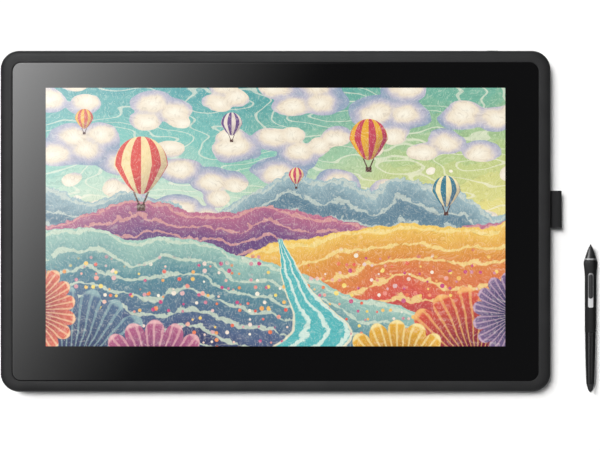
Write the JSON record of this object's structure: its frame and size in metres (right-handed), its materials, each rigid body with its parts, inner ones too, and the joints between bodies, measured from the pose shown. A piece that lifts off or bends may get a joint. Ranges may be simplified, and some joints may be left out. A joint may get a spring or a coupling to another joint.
{
  "type": "graphics tablet with screen",
  "caption": "Flat pen display with a wide glass screen in a rounded dark bezel, a fold-out rear stand, wall-mount holes and a webbing pen loop, with its pressure pen lying beside it.",
  "frame": {"origin": "on the desk, under the middle of the set's footprint, tablet and pen together", "axes": "+X along the screen's width to the right, +Y up the screen, +Z out of the screen"},
  "size_m": [0.623, 0.3568, 0.04],
  "materials": {
    "frame_plastic": "fine satin",
    "rear_plastic": "fine grain",
    "screen_glass": "etched, low glare",
    "foam": "matt foam",
    "panel_glass": "lit picture",
    "acrylic": "clear",
    "led_white": "gloss",
    "sheet_aluminium": "rolled",
    "steel": "plated",
    "brass": "turned",
    "board_green": "solder mask",
    "chip_black": "moulded",
    "ribbon": "film",
    "light_pipe": "clear",
    "rubber": "matt",
    "webbing": "tight weave",
    "pen_rubber": "soft matt",
    "pen_gloss": "gloss",
    "pen_silver": "silver satin",
    "pen_switch": "satin",
    "ferrite": "sintered",
    "copper": "enamelled wire"
  },
  "bodies": {
    "tablet": {"front_bezel": "frame_plastic", "screw_bosses": "frame_plastic", "cover_glass": "screen_glass", "glass_gasket": "foam", "lcd_panel": "panel_glass", "light_guide": "acrylic", "led_strip": "led_white", "backlight_tray": "sheet_aluminium", "sensor_board": "board_green", "sensor_shield": "sheet_aluminium", "chassis_plate": "sheet_aluminium", "chassis_screws": "steel", "board_posts": "brass", "main_board": "board_green", "board_chips": "chip_black", "board_screws": "steel", "hdmi_socket": "steel", "usb_socket": "steel", "dc_socket": "chip_black", "panel_ribbon": "ribbon", "power_switch": "board_green", "power_light_pipe": "light_pipe", "rear_cover": "rear_plastic", "vesa_posts": "steel", "case_screws": "steel", "rubber_feet": "rubber", "hinge_bracket_left": "steel", "hinge_bracket_right": "steel", "hinge_pins": "steel", "hinge_washers": "steel", "bracket_screws": "steel", "pen_loop": "webbing"},
    "pen_body": {"pen_nose_cone": "pen_gloss", "pen_ring": "pen_silver", "pen_core": "pen_switch", "pen_grip": "pen_rubber", "pen_ferrite": "ferrite", "pen_coil": "copper", "pen_force_sensor": "steel", "pen_board": "board_green", "pen_tact_switches": "chip_black", "pen_switch_plate": "pen_silver", "pen_rocker_pin": "steel", "pen_barrel": "pen_gloss", "pen_eraser_sensor": "steel"},
    "stand": {"stand_panel": "rear_plastic", "stand_foot": "rubber"},
    "power_key": {"power_button": "frame_plastic"},
    "nib": {"pen_nib": "pen_switch"},
    "side_switch": {"pen_rocker": "pen_switch"},
    "eraser": {"pen_eraser": "pen_switch"}
  },
  "joints": [
    {"name": "stand_fold", "type": "hinge", "parent": "tablet", "child": "stand", "pos_m": [-0.02585, 0.1297, 0.0079], "axis": [1, 0, 0], "range_deg": [0, 105]},
    {"name": "power_press", "type": "slide", "parent": "tablet", "child": "power_key", "axis": [0, -1, 0], "range_m": [0, 0.0006], "stiffness_N_per_m": 800},
    {"name": "pen_lift", "type": "slide", "parent": "tablet", "child": "pen_body", "axis": [0, 0, 1], "range_m": [0, 0.12]},
    {"name": "nib_press", "type": "slide", "parent": "pen_body", "child": "nib", "axis": [0, -0.9998, -0.0191], "range_m": [0, 0.0005], "stiffness_N_per_m": 600},
    {"name": "switch_rock", "type": "hinge", "parent": "pen_body", "child": "side_switch", "pos_m": [0.30415, -0.06722, 0.01224], "axis": [1, 0, 0], "range_deg": [-2.5, 2.5], "stiffness_Nm_per_rad": 0.05},
    {"name": "eraser_press", "type": "slide", "parent": "pen_body", "child": "eraser", "axis": [0, 0.9998, 0.0191], "range_m": [0, 0.0005], "stiffness_N_per_m": 600}
  ]
}
